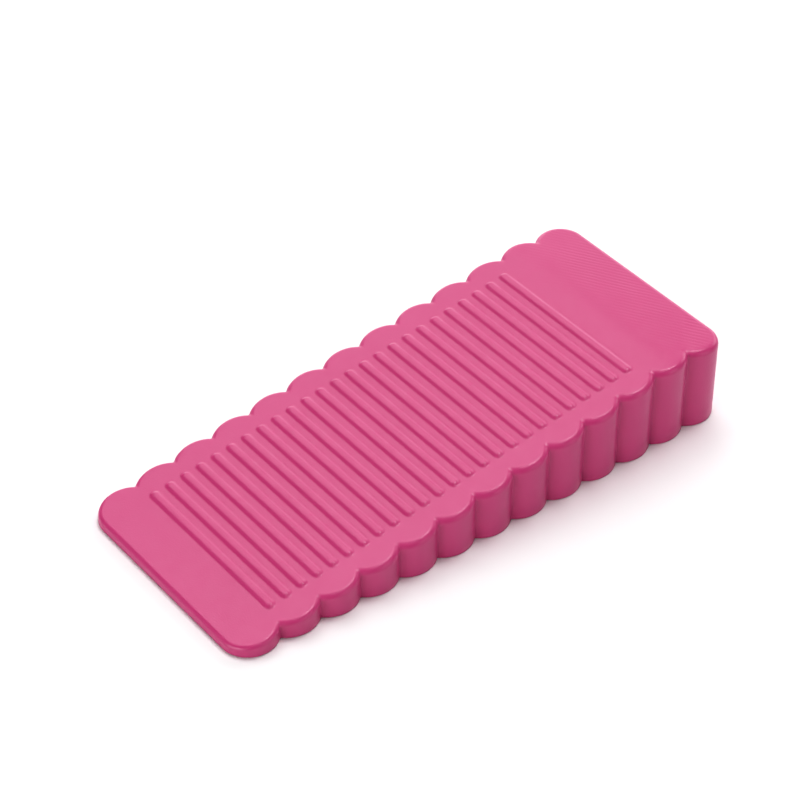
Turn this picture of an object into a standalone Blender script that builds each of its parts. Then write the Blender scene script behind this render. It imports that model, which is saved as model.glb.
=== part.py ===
"""Door wedge: one soft moulding with scalloped long sides and a ribbed ramp.

The wedge lies on its flat underside. +X runs up the ramp, from the thin edge to the
thick end, +Y runs across it and +Z is up. The origin is on the floor, under the middle
of the wedge's length and width. All sizes are in metres.

Run it with blender --background --python part.py, or from Blender's text editor.
"""

import math

import bmesh
import bpy
from mathutils import Vector

# Plan outline: each long side is a row of round lobes that meet in sharp inward cusps.
LENGTH = 0.120
LOBES = 13
END_REACH = 0.001
CUSP_HALF_WIDTH = 0.02345
SIDE_BOW = 0.00097
LOBE_HALF_ANGLE = math.radians(43)

# Side view: a straight ramp, then a short level top at the thick end.
THIN_HEIGHT = 0.0021
THICK_HEIGHT = 0.0185
LEVEL_LOBES = 1.5
EDGE_RADIUS = 0.0013
THIN_EDGE_RADIUS = 0.0009
EDGE_GROWS_OVER = 0.030
WALL_LEAN = math.tan(math.radians(1.3))

# Grip ribs: round beads across the ramp, each a capsule sunk into it.
RIB_COUNT = 25
RIB_PITCH = 0.0036
FIRST_RIB_FROM_THIN_EDGE = 0.0114
RIB_LENGTH = 0.0391
RIB_WIDTH = 0.002
RIB_HEIGHT = 0.00045

# Fineness of the round surfaces.
LOBE_STEPS = 8
CORNER_STEPS = 6
EDGE_STEPS = 5
RIB_STEPS_AROUND = 24
RIB_STEPS_END = 6
SMOOTH_BELOW_ANGLE = math.radians(30)

PINK = (0.694, 0.127, 0.279, 1.0)
ROUGHNESS = 0.42

# Worked out from the sizes above.
PITCH = (LENGTH - 2 * END_REACH) / LOBES
LOBE_RADIUS = PITCH / 2 / math.sin(LOBE_HALF_ANGLE)
CENTRE_INSIDE_CUSPS = PITCH / 2 / math.tan(LOBE_HALF_ANGLE)
LOBE_DEPTH = LOBE_RADIUS - CENTRE_INSIDE_CUSPS
CORNER_RADIUS = PITCH / 2 + END_REACH
CREASE_X = LENGTH / 2 - END_REACH - LEVEL_LOBES * PITCH
SLOPE = (THICK_HEIGHT - THIN_HEIGHT) / (CREASE_X + LENGTH / 2)


def clear_scene():
    """Remove every object that the file starts with."""
    for obj in list(bpy.data.objects):
        bpy.data.objects.remove(obj, do_unlink=True)


def top_height(x):
    """Height of the plain top surface at station x."""
    return min(THICK_HEIGHT, THIN_HEIGHT + SLOPE * (x + LENGTH / 2))


def bow(x):
    """How far the slightly barrelled long sides stand out at station x."""
    return SIDE_BOW * (1 - (2 * x / LENGTH) ** 2)


def arc(centre_x, centre_y, radius, start, end, steps):
    """Points of an arc, both ends included. Angle 0 points to -Y, and pi/2 to +X."""
    angles = [start + (end - start) * i / steps for i in range(steps + 1)]
    return [
        (centre_x + radius * math.sin(a), centre_y - radius * math.cos(a)) for a in angles
    ]


def edge_radius(x):
    """Radius of the rolled top edge, which grows from the thin end onward."""
    share = (x + LENGTH / 2 - CORNER_RADIUS) / EDGE_GROWS_OVER
    return THIN_EDGE_RADIUS + (EDGE_RADIUS - THIN_EDGE_RADIUS) * min(1, max(0, share))


def lean_inset(x):
    """How far the head of the leaning wall stands in from its foot."""
    return WALL_LEAN * (top_height(x) - edge_radius(x))


def lobe_arc(x, inset, start, end, steps):
    """Part of a lobe, from start to end, where -1 and 1 are its two cusps."""
    radius = LOBE_RADIUS - inset
    reach = math.asin(PITCH / 2 / radius)
    centre_y = -(CUSP_HALF_WIDTH - CENTRE_INSIDE_CUSPS)
    return arc(x, centre_y, radius, start * reach, end * reach, steps)


def side_outline(inset_at):
    """The -Y side from the thin edge to the thick end, moved inward by inset_at."""
    corner_y = -(CUSP_HALF_WIDTH + LOBE_DEPTH - CORNER_RADIUS)
    first_x = -LENGTH / 2 + CORNER_RADIUS
    last_x = LENGTH / 2 - CORNER_RADIUS
    first_inset, last_inset = inset_at(first_x), inset_at(last_x)
    half = LOBE_STEPS // 2

    thin = CORNER_RADIUS - first_inset
    points = arc(first_x, corner_y, thin, -math.pi / 2, 0, CORNER_STEPS)[:-1]
    points += lobe_arc(first_x, first_inset, 0, 1, half)[:-1]
    for i in range(1, LOBES - 1):
        x = first_x + i * PITCH
        points += lobe_arc(x, inset_at(x), -1, 1, LOBE_STEPS)[:-1]
    points += lobe_arc(last_x, last_inset, -1, 0, half)[:-1]
    thick = CORNER_RADIUS - last_inset
    points += arc(last_x, corner_y, thick, 0, math.pi / 2, CORNER_STEPS)
    return [(x, y - bow(x)) for x, y in points]


def ring(inset_at, height_at):
    """A closed loop of points round the whole plan, at the height that each x gives."""
    near = side_outline(inset_at)
    far = [(x, -y) for x, y in reversed(near)]
    return [Vector((x, y, height_at(x))) for x, y in near + far]


def rolled_ring(turn):
    """The loop where the rolled edge has turned this far, from the wall to the top."""
    rolled_in = 1 - math.cos(turn)
    left_to_rise = 1 - math.sin(turn)
    return ring(
        lambda x: lean_inset(x) + rolled_in * edge_radius(x),
        lambda x: top_height(x) - left_to_rise * edge_radius(x),
    )


def body_rings():
    """The floor loop, then the loops that roll over the top edge onto the top."""
    rings = [ring(lambda x: 0.0, lambda x: 0.0)]
    for step in range(EDGE_STEPS + 1):
        rings.append(rolled_ring(math.pi / 2 * step / EDGE_STEPS))
    return rings


def add_loop_strips(bm, loops):
    """Quads between each loop of vertices and the next one up."""
    for lower, upper in zip(loops, loops[1:]):
        for i in range(len(lower)):
            j = (i + 1) % len(lower)
            bm.faces.new((lower[i], lower[j], upper[j], upper[i]))


def build_body_mesh():
    """The wedge without its ribs."""
    bm = bmesh.new()
    loops = [[bm.verts.new(point) for point in points] for points in body_rings()]
    add_loop_strips(bm, loops)
    bm.faces.new(list(reversed(loops[0])))

    margin = PITCH / 1000
    top = loops[-1]
    bm.faces.new([v for v in top if v.co.x < CREASE_X + margin])
    level = [i for i, v in enumerate(top) if v.co.x > CREASE_X - margin]
    bm.faces.new([top[i] for i in level])
    return finish_mesh(bm, "wedge_body")


def capsule_profile(radius, half_run):
    """(radius, place along the axis) of each ring of a capsule, poles left out."""
    turns = [math.pi / 2 * i / RIB_STEPS_END for i in range(1, RIB_STEPS_END + 1)]
    start = [(radius * math.sin(t), -half_run - radius * math.cos(t)) for t in turns]
    return start + [(r, -along) for r, along in reversed(start)]


def add_capsule(bm, centre, radius, half_run):
    """A closed capsule whose axis lies along Y."""
    loops = []
    for ring_radius, along in capsule_profile(radius, half_run):
        angles = [2 * math.pi * i / RIB_STEPS_AROUND for i in range(RIB_STEPS_AROUND)]
        loops.append(
            [
                bm.verts.new(
                    centre
                    + Vector((ring_radius * math.sin(a), along, ring_radius * math.cos(a)))
                )
                for a in angles
            ]
        )
    add_loop_strips(bm, loops)
    end = half_run + radius
    for loop, y in ((loops[0], -end), (loops[-1], end)):
        pole = bm.verts.new(centre + Vector((0, y, 0)))
        for i in range(len(loop)):
            bm.faces.new((loop[i], loop[(i + 1) % len(loop)], pole))


def build_rib_mesh():
    """All the ribs' capsules, which stand clear of each other."""
    radius = (RIB_WIDTH**2 / 4 + RIB_HEIGHT**2) / (2 * RIB_HEIGHT)
    half_run = (RIB_LENGTH - RIB_WIDTH) / 2
    normal = Vector((-SLOPE, 0, 1)).normalized()
    bm = bmesh.new()
    for i in range(RIB_COUNT):
        x = -LENGTH / 2 + FIRST_RIB_FROM_THIN_EDGE + i * RIB_PITCH
        foot = Vector((x, 0, top_height(x)))
        add_capsule(bm, foot - normal * (radius - RIB_HEIGHT), radius, half_run)
    return finish_mesh(bm, "rib_capsules")


def finish_mesh(bm, name):
    """Turn the faces outward, shade round stretches smooth and hand over the mesh."""
    bmesh.ops.recalc_face_normals(bm, faces=bm.faces)
    mesh = bpy.data.meshes.new(name)
    bm.to_mesh(mesh)
    bm.free()
    mesh.shade_smooth()
    mesh.set_sharp_from_angle(angle=SMOOTH_BELOW_ANGLE)
    return mesh


def soft_pink_material():
    """Satin pink thermoplastic rubber."""
    material = bpy.data.materials.new("pink_rubber")
    material.use_nodes = True
    shader = material.node_tree.nodes["Principled BSDF"]
    shader.inputs["Base Color"].default_value = PINK
    shader.inputs["Roughness"].default_value = ROUGHNESS
    shader.inputs["Metallic"].default_value = 0.0
    return material


def add_object(mesh, material):
    """Put a mesh in the scene under its own name."""
    mesh.materials.append(material)
    obj = bpy.data.objects.new(mesh.name, mesh)
    bpy.context.scene.collection.objects.link(obj)
    return obj


def main():
    clear_scene()
    material = soft_pink_material()
    body = add_object(build_body_mesh(), material)
    ribs = add_object(build_rib_mesh(), material)
    ribs.hide_render = True
    ribs.display_type = "WIRE"
    union = body.modifiers.new("grip_ribs", "BOOLEAN")
    union.operation = "UNION"
    union.object = ribs


main()
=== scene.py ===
"""Looks of the door wedge: its fine moulded surface, its rubber, the floor, lights and camera.

The CAD node gives the length, width and height. This script builds the same wedge again
with smooth lobes, a rolled top edge, ribs with soft feet and a slightly rounded floor
edge, and gives it a satin pink rubber. All sizes are in metres, and +X runs up the ramp.
"""

import math

import bpy
import numpy as np
from mathutils import Matrix, Vector


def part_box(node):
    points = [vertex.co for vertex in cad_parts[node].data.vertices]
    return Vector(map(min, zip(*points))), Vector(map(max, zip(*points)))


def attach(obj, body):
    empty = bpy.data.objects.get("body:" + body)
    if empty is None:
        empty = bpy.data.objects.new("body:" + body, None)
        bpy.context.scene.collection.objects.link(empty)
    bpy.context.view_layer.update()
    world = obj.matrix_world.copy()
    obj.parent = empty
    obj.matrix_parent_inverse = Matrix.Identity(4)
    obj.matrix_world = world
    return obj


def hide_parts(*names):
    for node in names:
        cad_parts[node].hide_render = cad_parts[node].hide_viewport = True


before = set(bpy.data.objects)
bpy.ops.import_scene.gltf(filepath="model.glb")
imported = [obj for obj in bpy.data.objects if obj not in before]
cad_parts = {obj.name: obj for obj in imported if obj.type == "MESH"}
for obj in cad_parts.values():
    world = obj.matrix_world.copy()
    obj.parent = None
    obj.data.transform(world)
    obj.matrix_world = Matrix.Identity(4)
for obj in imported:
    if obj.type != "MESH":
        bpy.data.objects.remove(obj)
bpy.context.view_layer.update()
LOW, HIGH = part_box("wedge_body")

# Plan outline: each long side is a row of round lobes that meet in inward cusps.
LOBES = 13
END_REACH = 0.001
SIDE_BOW = 0.00097
LOBE_HALF_ANGLE = math.radians(43)
CUSP_BLEND = 0.0003

# Side view: a straight ramp, then a short level top, with a soft crease between them.
THIN_HEIGHT = 0.0021
LEVEL_LOBES = 1.5
EDGE_RADIUS = 0.0013
THIN_EDGE_RADIUS = 0.0009
EDGE_GROWS_OVER = 0.03
WALL_LEAN = math.tan(math.radians(1.3))
FLOOR_EDGE_RADIUS = 0.00025
CREASE_BLEND = 0.00045

# Grip ribs: beads across the ramp. The two fullness values are for the side that faces
# the thin end and the side that faces the thick end, and a larger one is steeper.
RIB_COUNT = 25
RIB_PITCH = 0.0036
FIRST_RIB_FROM_THIN_EDGE = 0.0114
RIB_LENGTH = 0.0391
RIB_WIDTH = 0.002
RIB_HEIGHT = 0.00045
RIB_FULLNESS = (3.4, 1.9)
RIB_FOOT_BLEND = 0.0004

# Fineness of the mesh. Its rows across the ramp lie close together in the band where the
# ribs end, and the margin is what lies between that band and the rolled edge. The band
# takes up at most WIDEST_BAND_SHARE of the width, so it narrows at the plan's corners.
STATIONS_PER_RIB = 18
CORNER_STEPS = 14
EDGE_STEPS = 12
FLOOR_EDGE_STEPS = 3
WALL_STEPS = 6
MIDDLE_STEP = 0.001
RIB_END_STEP = 0.0002
RIB_END_BAND = (0.018, 0.0202)
MARGIN_STEPS = 9
WIDEST_BAND_SHARE = 0.95

# Worked out from the sizes above and the CAD box.
LENGTH = HIGH.x - LOW.x
THICK_HEIGHT = HIGH.z
PITCH = (LENGTH - 2 * END_REACH) / LOBES
LOBE_RADIUS = PITCH / 2 / math.sin(LOBE_HALF_ANGLE)
CENTRE_INSIDE_CUSPS = PITCH / 2 / math.tan(LOBE_HALF_ANGLE)
LOBE_CENTRE_Y = HIGH.y - SIDE_BOW - LOBE_RADIUS
CORNER_RADIUS = PITCH / 2 + END_REACH
CORNER_CENTRE_X = LENGTH / 2 - CORNER_RADIUS
CORNER_CENTRE_Y = HIGH.y - SIDE_BOW - CORNER_RADIUS
CREASE_X = LENGTH / 2 - END_REACH - LEVEL_LOBES * PITCH
SLOPE = (THICK_HEIGHT - THIN_HEIGHT) / (CREASE_X + LENGTH / 2)


def soft_max(a, b, blend):
    """The larger of a and b, rounded off where they differ by less than blend."""
    near = np.maximum(blend - np.abs(a - b), 0)
    return np.maximum(a, b) + near**2 / (4 * blend)


def plain_top(x):
    """Height of the top at station x, without the ribs."""
    ramp = THIN_HEIGHT + SLOPE * (x + LENGTH / 2)
    return -soft_max(-ramp, -THICK_HEIGHT, CREASE_BLEND)


def rib_height(x, y):
    """How far the beads stand out of the ramp at each point."""
    first = -LENGTH / 2 + FIRST_RIB_FROM_THIN_EDGE
    nearest = np.clip(np.round((x - first) / RIB_PITCH), 0, RIB_COUNT - 1)
    across = x - (first + nearest * RIB_PITCH)
    past_end = np.maximum(np.abs(y) - (RIB_LENGTH - RIB_WIDTH) / 2, 0)
    away = np.hypot(across, past_end) / (RIB_WIDTH / 2)
    steep, gentle = RIB_FULLNESS
    side = np.clip(across / (RIB_WIDTH / 2), -1, 1)
    fullness = (steep + gentle) / 2 - side * (steep - gentle) / 2
    return soft_max(RIB_HEIGHT * (1 - away**fullness), 0.0, RIB_FOOT_BLEND)


def lobe_edge(x, inset):
    """Half the width at stations between the corners, moved inward by inset."""
    radius = LOBE_RADIUS - inset
    along = (x + CORNER_CENTRE_X) / PITCH
    own = np.clip(np.round(along), 0, LOBES - 1)
    side = np.where(along >= own, 1.0, -1.0)
    from_own = (along - own) * PITCH
    from_next = from_own - side * PITCH
    own_y = np.sqrt(radius**2 - from_own**2)
    next_y = np.sqrt(np.maximum(radius**2 - from_next**2, 0))
    return LOBE_CENTRE_Y + soft_max(own_y, next_y, CUSP_BLEND + inset)


def stations():
    """Places along X of the mesh's columns between the corner centres."""
    step = RIB_PITCH / STATIONS_PER_RIB
    first_rib = -LENGTH / 2 + FIRST_RIB_FROM_THIN_EDGE
    before = int((first_rib + CORNER_CENTRE_X) / step)
    after = int((CORNER_CENTRE_X - first_rib) / step)
    x = first_rib + step * np.arange(-before, after + 1)
    x[0], x[-1] = -CORNER_CENTRE_X, CORNER_CENTRE_X
    for cusp in -CORNER_CENTRE_X + PITCH * (np.arange(LOBES - 1) + 0.5):
        x[np.argmin(np.abs(x - cusp))] = cusp
    return x


def edge_radius(x):
    """Radius of the rolled top edge, which grows from the thin end onward."""
    share = np.clip((x + CORNER_CENTRE_X) / EDGE_GROWS_OVER, 0, 1)
    return THIN_EDGE_RADIUS + (EDGE_RADIUS - THIN_EDGE_RADIUS) * share


def lean_inset(x):
    """How far the foot of the rolled edge stands in from the underside's outline."""
    return WALL_LEAN * (plain_top(x) - edge_radius(x))


def side_line(inset_at):
    """(x, y) of the +Y side from the thin end to the thick end.

    The line is moved inward at each station by what inset_at gives there.
    """
    turn = np.linspace(math.pi / 2, 0, CORNER_STEPS + 1)[:-1]
    middle = stations()
    inset = inset_at(middle)
    thin = CORNER_RADIUS - inset[0]
    thick = CORNER_RADIUS - inset[-1]
    thin_x = -CORNER_CENTRE_X - thin * np.sin(turn)
    thin_y = CORNER_CENTRE_Y + thin * np.cos(turn)
    thick_x = CORNER_CENTRE_X + thick * np.sin(turn[::-1])
    thick_y = CORNER_CENTRE_Y + thick * np.cos(turn[::-1])
    x = np.concatenate([thin_x, middle, thick_x])
    y = np.concatenate([thin_y, lobe_edge(middle, inset), thick_y])
    return x, y + SIDE_BOW * (1 - (2 * x / LENGTH) ** 2)


def band_rows():
    """Rows of the ribbed band, as distances from its middle, and its half width."""
    low, high = RIB_END_BAND
    middle = np.linspace(0, low, round(low / MIDDLE_STEP), endpoint=False)
    ends = np.linspace(low, high, round((high - low) / RIB_END_STEP), endpoint=False)
    half = np.concatenate([middle, ends])
    return np.concatenate([-half[:0:-1], half]), high


def top_grid():
    """Points of the top inside its rolled edge: columns along X, rows across."""
    x, edge = side_line(lambda x: lean_inset(x) + edge_radius(x))
    inner, band = band_rows()
    inner_edge = np.minimum(band, edge * WIDEST_BAND_SHARE)
    shares = np.linspace(0, 1, MARGIN_STEPS + 1)
    margin = [inner_edge + (edge - inner_edge) * share for share in shares]
    rows = [-row for row in reversed(margin)]
    rows += [y / band * inner_edge for y in inner]
    rows += margin
    y = np.stack(rows, axis=1)
    x = np.repeat(x[:, None], y.shape[1], axis=1)
    z = plain_top(x) + rib_height(x, y)
    return np.stack([x, y, z], axis=-1)


def loop_indices(columns, rows):
    """Grid positions of the top's rim, anticlockwise from the thin end's -Y corner."""
    near = [(i, 0) for i in range(columns - 1)]
    thick = [(columns - 1, j) for j in range(rows - 1)]
    far = [(i, rows - 1) for i in range(columns - 1, 0, -1)]
    thin = [(0, j) for j in range(rows - 1, 0, -1)]
    return near + thick + far + thin


def outline_loop(inset_at, rim, grid):
    """(x, y) of the plan moved in by inset_at, one point for each of the top's rim."""
    x, y = side_line(inset_at)
    last_column, last_row = grid.shape[0] - 1, grid.shape[1] - 1
    points = []
    for i, j in rim:
        if 0 < j < last_row and i == 0:
            points.append((x[0], grid[0, j, 1]))
        elif 0 < j < last_row and i == last_column:
            points.append((x[-1], grid[-1, j, 1]))
        else:
            points.append((x[i], y[i] if j else -y[i]))
    return np.array(points)


def rolled_edge_loops(rim, grid):
    """Loops from just inside the top's rim down to the head of the wall."""
    loops = []
    for step in range(EDGE_STEPS - 1, -1, -1):
        turn = math.pi / 2 * step / EDGE_STEPS
        rolled_in = 1 - math.cos(turn)
        plan = outline_loop(lambda x: lean_inset(x) + rolled_in * edge_radius(x), rim, grid)
        drop = edge_radius(plan[:, 0]) * (1 - math.sin(turn))
        loops.append(np.column_stack([plan, plain_top(plan[:, 0]) - drop]))
    return loops


def wall_loops(rim, grid, head):
    """Loops down the leaning wall, then round the small edge to the underside."""
    loops = []
    for step in range(1, WALL_STEPS):
        share = step / WALL_STEPS
        plan = outline_loop(lambda x: (1 - share) * lean_inset(x), rim, grid)
        z = head[:, 2] + (FLOOR_EDGE_RADIUS - head[:, 2]) * share
        loops.append(np.column_stack([plan, z]))
    for step in range(FLOOR_EDGE_STEPS + 1):
        turn = math.pi / 2 * step / FLOOR_EDGE_STEPS
        inset = FLOOR_EDGE_RADIUS * (1 - math.cos(turn))
        plan = outline_loop(lambda x: np.full_like(x, inset), rim, grid)
        z = np.full(len(plan), FLOOR_EDGE_RADIUS * (1 - math.sin(turn)))
        loops.append(np.column_stack([plan, z]))
    return loops


def underside_faces(rim, base, columns, rows):
    """Strips across the underside, from one long side to the other."""
    where = {key: base + n for n, key in enumerate(rim)}
    faces = []
    last = rows - 1
    for i in range(columns - 1):
        near, near_next = where[i, 0], where[i + 1, 0]
        far, far_next = where[i, last], where[i + 1, last]
        thin = [where[i, j] for j in range(1, last)] if i == 0 else []
        end = i == columns - 2
        thick = [where[i + 1, j] for j in range(last - 1, 0, -1)] if end else []
        faces.append([near, *thin, far, far_next, *thick, near_next])
    return faces


def build_wedge():
    """The whole moulding as one closed mesh."""
    grid = top_grid()
    columns, rows = grid.shape[:2]
    rim = loop_indices(columns, rows)
    loops = rolled_edge_loops(rim, grid)
    loops += wall_loops(rim, grid, loops[-1])
    points = np.vstack([grid.reshape(-1, 3), *loops])

    number = np.arange(columns * rows).reshape(columns, rows)
    corners = (number[:-1, :-1], number[1:, :-1], number[1:, 1:], number[:-1, 1:])
    faces = np.stack(corners, axis=-1).reshape(-1, 4).tolist()
    upper = [int(number[key]) for key in rim]
    for n in range(len(loops)):
        start = columns * rows + n * len(rim)
        lower = list(range(start, start + len(rim)))
        for a in range(len(rim)):
            b = (a + 1) % len(rim)
            faces.append([upper[a], lower[a], lower[b], upper[b]])
        upper = lower
    faces += underside_faces(rim, upper[0], columns, rows)

    mesh = bpy.data.meshes.new("wedge_moulding")
    mesh.from_pydata(points.tolist(), [], faces)
    mesh.validate()
    mesh.shade_smooth()
    wedge = bpy.data.objects.new("wedge_moulding", mesh)
    bpy.context.scene.collection.objects.link(wedge)
    return wedge


# Rubber. Each scale is in noise cells per metre.
PINK = (0.60, 0.074, 0.235, 1.0)
PINK_DEEP = (0.57, 0.067, 0.217, 1.0)
TINT_SCALE = 90.0
TINT_DETAIL = 3.0
SPECULAR_LEVEL = 0.6
ROUGHNESS = (0.29, 0.39)
GLOSS_SCALE = 400.0
GLOSS_DETAIL = 4.0
GLOSS_NOISE_RANGE = (0.3, 0.7)
GRAIN_SCALE = 3200.0
GRAIN_DETAIL = 2.0
GRAIN_DEPTH = 0.000022

# Fine slanting marks on the level top. They waver, come and go in patches, and fade out
# toward the ramp and on faces that don't face straight up.
MARK_TURN = math.radians(32)
MARK_PERIOD = 0.00092
MARK_DEPTH = 0.000026
MARKS_FADE_IN = (0.040, 0.055)
MARKS_FACE_UP = (0.95, 1.0)
MARK_WAVER = 1.6
MARK_WAVER_DETAIL = 2.0
MARK_WAVER_SCALE = 0.35
PATCH_SCALE = 130.0
PATCH_DETAIL = 1.0
PATCH_NOISE_RANGE = (0.35, 0.65)
PATCH_STRENGTH = (0.25, 1.0)
WAVE_NODE_PERIOD = math.pi / 10

# Where the nodes stand in the node editor.
NODE_SPACING = 220
FIRST_NODE_X = -4000


def add_node(tree, kind, **values):
    """A shader node with its properties and its inputs' values set by name."""
    node = tree.nodes.new(kind)
    node.location.x = FIRST_NODE_X + NODE_SPACING * len(tree.nodes)
    for name, value in values.items():
        if hasattr(node, name):
            setattr(node, name, value)
        else:
            node.inputs[name.replace("_", " ")].default_value = value
    return node


def noise(tree, place, scale, detail):
    """A noise's 0 to 1 output."""
    node = add_node(tree, "ShaderNodeTexNoise", Scale=scale, Detail=detail)
    tree.links.new(place, node.inputs["Vector"])
    return node.outputs["Fac"]


def fade(tree, value, start, end, low=0.0, high=1.0):
    """Map value from start..end to low..high, and hold it beyond."""
    node = add_node(tree, "ShaderNodeMapRange")
    node.inputs["From Min"].default_value = start
    node.inputs["From Max"].default_value = end
    node.inputs["To Min"].default_value = low
    node.inputs["To Max"].default_value = high
    tree.links.new(value, node.inputs["Value"])
    return node.outputs["Result"]


def product(tree, *values):
    """All the values multiplied together."""
    total = values[0]
    for value in values[1:]:
        node = add_node(tree, "ShaderNodeMath", operation="MULTIPLY")
        tree.links.new(total, node.inputs[0])
        tree.links.new(value, node.inputs[1])
        total = node.outputs["Value"]
    return total


def slanting_marks(tree, place):
    """Height of the fine marks, from 0 to 1."""
    turn = add_node(tree, "ShaderNodeMapping")
    turn.inputs["Rotation"].default_value = (0, 0, -MARK_TURN)
    tree.links.new(place, turn.inputs["Vector"])
    waves = add_node(tree, "ShaderNodeTexWave", wave_type="BANDS", bands_direction="X")
    waves.inputs["Scale"].default_value = WAVE_NODE_PERIOD / MARK_PERIOD
    waves.inputs["Distortion"].default_value = MARK_WAVER
    waves.inputs["Detail"].default_value = MARK_WAVER_DETAIL
    waves.inputs["Detail Scale"].default_value = MARK_WAVER_SCALE
    tree.links.new(turn.outputs["Vector"], waves.inputs["Vector"])

    position = add_node(tree, "ShaderNodeSeparateXYZ")
    tree.links.new(place, position.inputs["Vector"])
    facing = add_node(tree, "ShaderNodeSeparateXYZ")
    surface = add_node(tree, "ShaderNodeNewGeometry")
    tree.links.new(surface.outputs["Normal"], facing.inputs["Vector"])
    near_end = fade(tree, position.outputs["X"], *MARKS_FADE_IN)
    upward = fade(tree, facing.outputs["Z"], *MARKS_FACE_UP)
    patch_noise = noise(tree, place, PATCH_SCALE, PATCH_DETAIL)
    patches = fade(tree, patch_noise, *PATCH_NOISE_RANGE, *PATCH_STRENGTH)
    return product(tree, waves.outputs["Fac"], near_end, upward, patches)


def add_bump(tree, height, depth, under=None):
    """A bump of this depth in metres, on top of the one under it."""
    node = add_node(tree, "ShaderNodeBump", Distance=depth)
    tree.links.new(height, node.inputs["Height"])
    if under:
        tree.links.new(under, node.inputs["Normal"])
    return node.outputs["Normal"]


def pink_rubber():
    """Satin pink rubber with a fine grain, and fine slanting marks on the level top."""
    material = bpy.data.materials.new("pink_rubber_satin")
    material.use_nodes = True
    tree = material.node_tree
    shader = tree.nodes["Principled BSDF"]
    shader.inputs["Specular IOR Level"].default_value = SPECULAR_LEVEL
    place = add_node(tree, "ShaderNodeTexCoord").outputs["Object"]

    tint = add_node(tree, "ShaderNodeMix", data_type="RGBA")
    tint.inputs["A"].default_value = PINK
    tint.inputs["B"].default_value = PINK_DEEP
    tree.links.new(noise(tree, place, TINT_SCALE, TINT_DETAIL), tint.inputs["Factor"])
    tree.links.new(tint.outputs["Result"], shader.inputs["Base Color"])

    gloss_noise = noise(tree, place, GLOSS_SCALE, GLOSS_DETAIL)
    gloss = fade(tree, gloss_noise, *GLOSS_NOISE_RANGE, *ROUGHNESS)
    tree.links.new(gloss, shader.inputs["Roughness"])

    grain = add_bump(tree, noise(tree, place, GRAIN_SCALE, GRAIN_DETAIL), GRAIN_DEPTH)
    marks = add_bump(tree, slanting_marks(tree, place), MARK_DEPTH, under=grain)
    tree.links.new(marks, shader.inputs["Normal"])
    return material


def dress(wedge):
    """Give the piece its material and body, and hide the CAD part it stands in for."""
    wedge.data.materials.append(pink_rubber())
    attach(wedge, "root")
    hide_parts("wedge_body")


# Studio.
FLOOR_SIZE = 12.0
FLOOR_BELOW_WEDGE = 0.00005
FLOOR_ROUGHNESS = 0.9
FLOOR_COLOUR = (0.93, 0.93, 0.93, 1.0)
AIR_COLOUR = (1.0, 1.0, 1.0, 1.0)
AIR_STRENGTH = 0.03
LIGHT_DISTANCE = 2.0

# Each soft box: azimuth and elevation in degrees, then width, height and brightness.
SOFT_BOXES = {
    "overhead_softbox": (6, 73, 0.7, 0.75, 6.4),
    "back_softbox": (80, 60, 1.6, 1.2, 1.95),
    "low_back_softbox": (50, 18, 2.2, 1.3, 1.6),
    "left_softbox": (188, 17, 1.8, 0.8, 3.3),
    "right_softbox": (290, 24, 1.3, 1.1, 1.2),
    "edge_softbox": (4, 24, 0.9, 0.9, 2.6),
    "front_softbox": (255, 72, 0.5, 0.5, 2.4),
}


def plain_material(name, colour, roughness):
    """A material with one colour and one roughness."""
    material = bpy.data.materials.new(name)
    material.use_nodes = True
    shader = material.node_tree.nodes["Principled BSDF"]
    shader.inputs["Base Color"].default_value = colour
    shader.inputs["Roughness"].default_value = roughness
    return material


def add_floor():
    """A plain pale floor, a hair below the wedge's underside."""
    half = FLOOR_SIZE / 2
    corners = [(-half, -half, 0), (half, -half, 0), (half, half, 0), (-half, half, 0)]
    mesh = bpy.data.meshes.new("floor")
    mesh.from_pydata(corners, [], [(0, 1, 2, 3)])
    mesh.materials.append(plain_material("pale_floor", FLOOR_COLOUR, FLOOR_ROUGHNESS))
    floor = bpy.data.objects.new("floor", mesh)
    floor.location.z = -FLOOR_BELOW_WEDGE
    bpy.context.scene.collection.objects.link(floor)


def add_air():
    """Faint soft light from all round."""
    world = bpy.data.worlds.new("studio")
    world.use_nodes = True
    background = world.node_tree.nodes["Background"]
    background.inputs["Color"].default_value = AIR_COLOUR
    background.inputs["Strength"].default_value = AIR_STRENGTH
    bpy.context.scene.world = world


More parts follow.
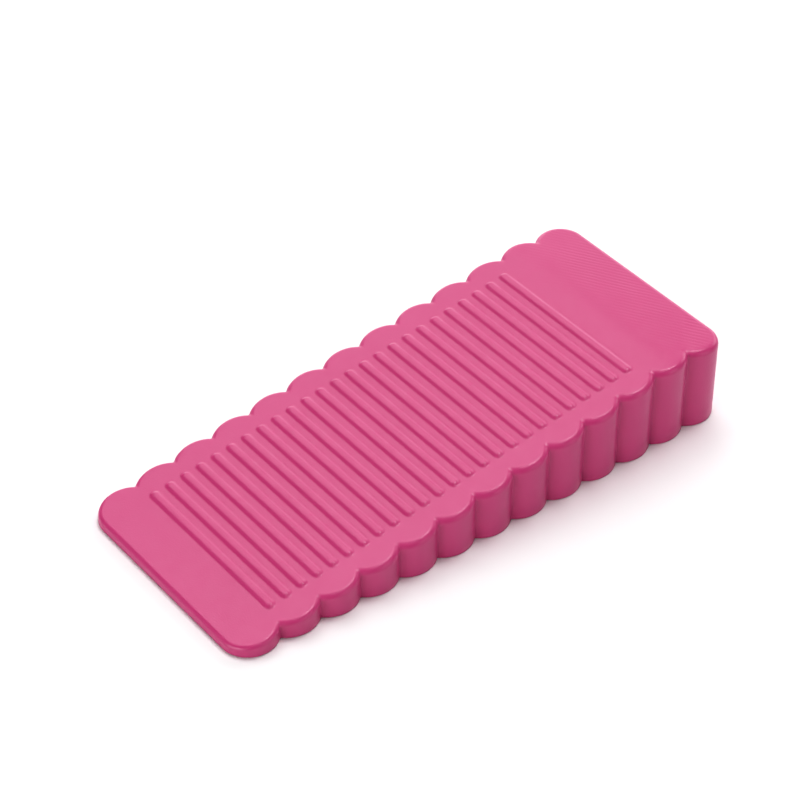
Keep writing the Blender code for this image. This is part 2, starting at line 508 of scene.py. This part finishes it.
def add_soft_light(name, azimuth, elevation, width, height, brightness):
    """A rectangular soft box that faces the wedge. Azimuth 0 is at +X and 90 at +Y.

    The box's radiance is its brightness, in watts per square metre and steradian.
    """
    a, e = math.radians(azimuth), math.radians(elevation)
    way = Vector((math.cos(a) * math.cos(e), math.sin(a) * math.cos(e), math.sin(e)))
    light = bpy.data.lights.new(name, "AREA")
    light.shape = "RECTANGLE"
    light.size = width
    light.size_y = height
    light.energy = brightness * math.pi * width * height
    lamp = bpy.data.objects.new(name, light)
    lamp.location = way * LIGHT_DISTANCE
    lamp.rotation_euler = way.to_track_quat("Z", "Y").to_euler()
    bpy.context.scene.collection.objects.link(lamp)


def add_lights():
    """All the soft boxes."""
    for name, values in SOFT_BOXES.items():
        add_soft_light(name, *values)


# Camera: where it looks on the floor, from which side, how far and how much it leans.
# Its azimuth is 0 at -Y and goes negative toward -X.
LOOK_AT = Vector((0.00959, 0.01658, 0.0))
CAMERA_AZIMUTH = math.radians(-39.31)
CAMERA_ELEVATION = math.radians(39.83)
CAMERA_ROLL = math.radians(1.70)
CAMERA_DISTANCE = 0.5278
FOCAL_LENGTH_MM = 117.07
SENSOR_MM = 36.0
CLIP_START = 0.01
CLIP_END = 100.0


def add_camera():
    """A long lens looking down on the ramp from the thin end's -Y side."""
    data = bpy.data.cameras.new("camera")
    data.sensor_width = SENSOR_MM
    data.lens = FOCAL_LENGTH_MM
    data.clip_start = CLIP_START
    data.clip_end = CLIP_END
    camera = bpy.data.objects.new("camera", data)
    a, e = CAMERA_AZIMUTH, CAMERA_ELEVATION
    back = Vector((math.sin(a) * math.cos(e), -math.cos(a) * math.cos(e), math.sin(e)))
    right = Vector((0, 0, 1)).cross(back).normalized()
    up = back.cross(right)
    c, s = math.cos(CAMERA_ROLL), math.sin(CAMERA_ROLL)
    leaned_right = c * right + s * up
    leaned_up = c * up - s * right
    turn = Matrix((leaned_right, leaned_up, back)).transposed().to_4x4()
    camera.matrix_world = Matrix.Translation(LOOK_AT + back * CAMERA_DISTANCE) @ turn
    bpy.context.scene.collection.objects.link(camera)
    bpy.context.scene.camera = camera


def set_view():
    """Plain colours with raised contrast."""
    bpy.context.scene.view_settings.view_transform = "Standard"
    bpy.context.scene.view_settings.look = "High Contrast"


def main():
    """Build the wedge, give it its material and set up the studio round it."""
    set_view()
    dress(build_wedge())
    add_floor()
    add_air()
    add_lights()
    add_camera()


main()
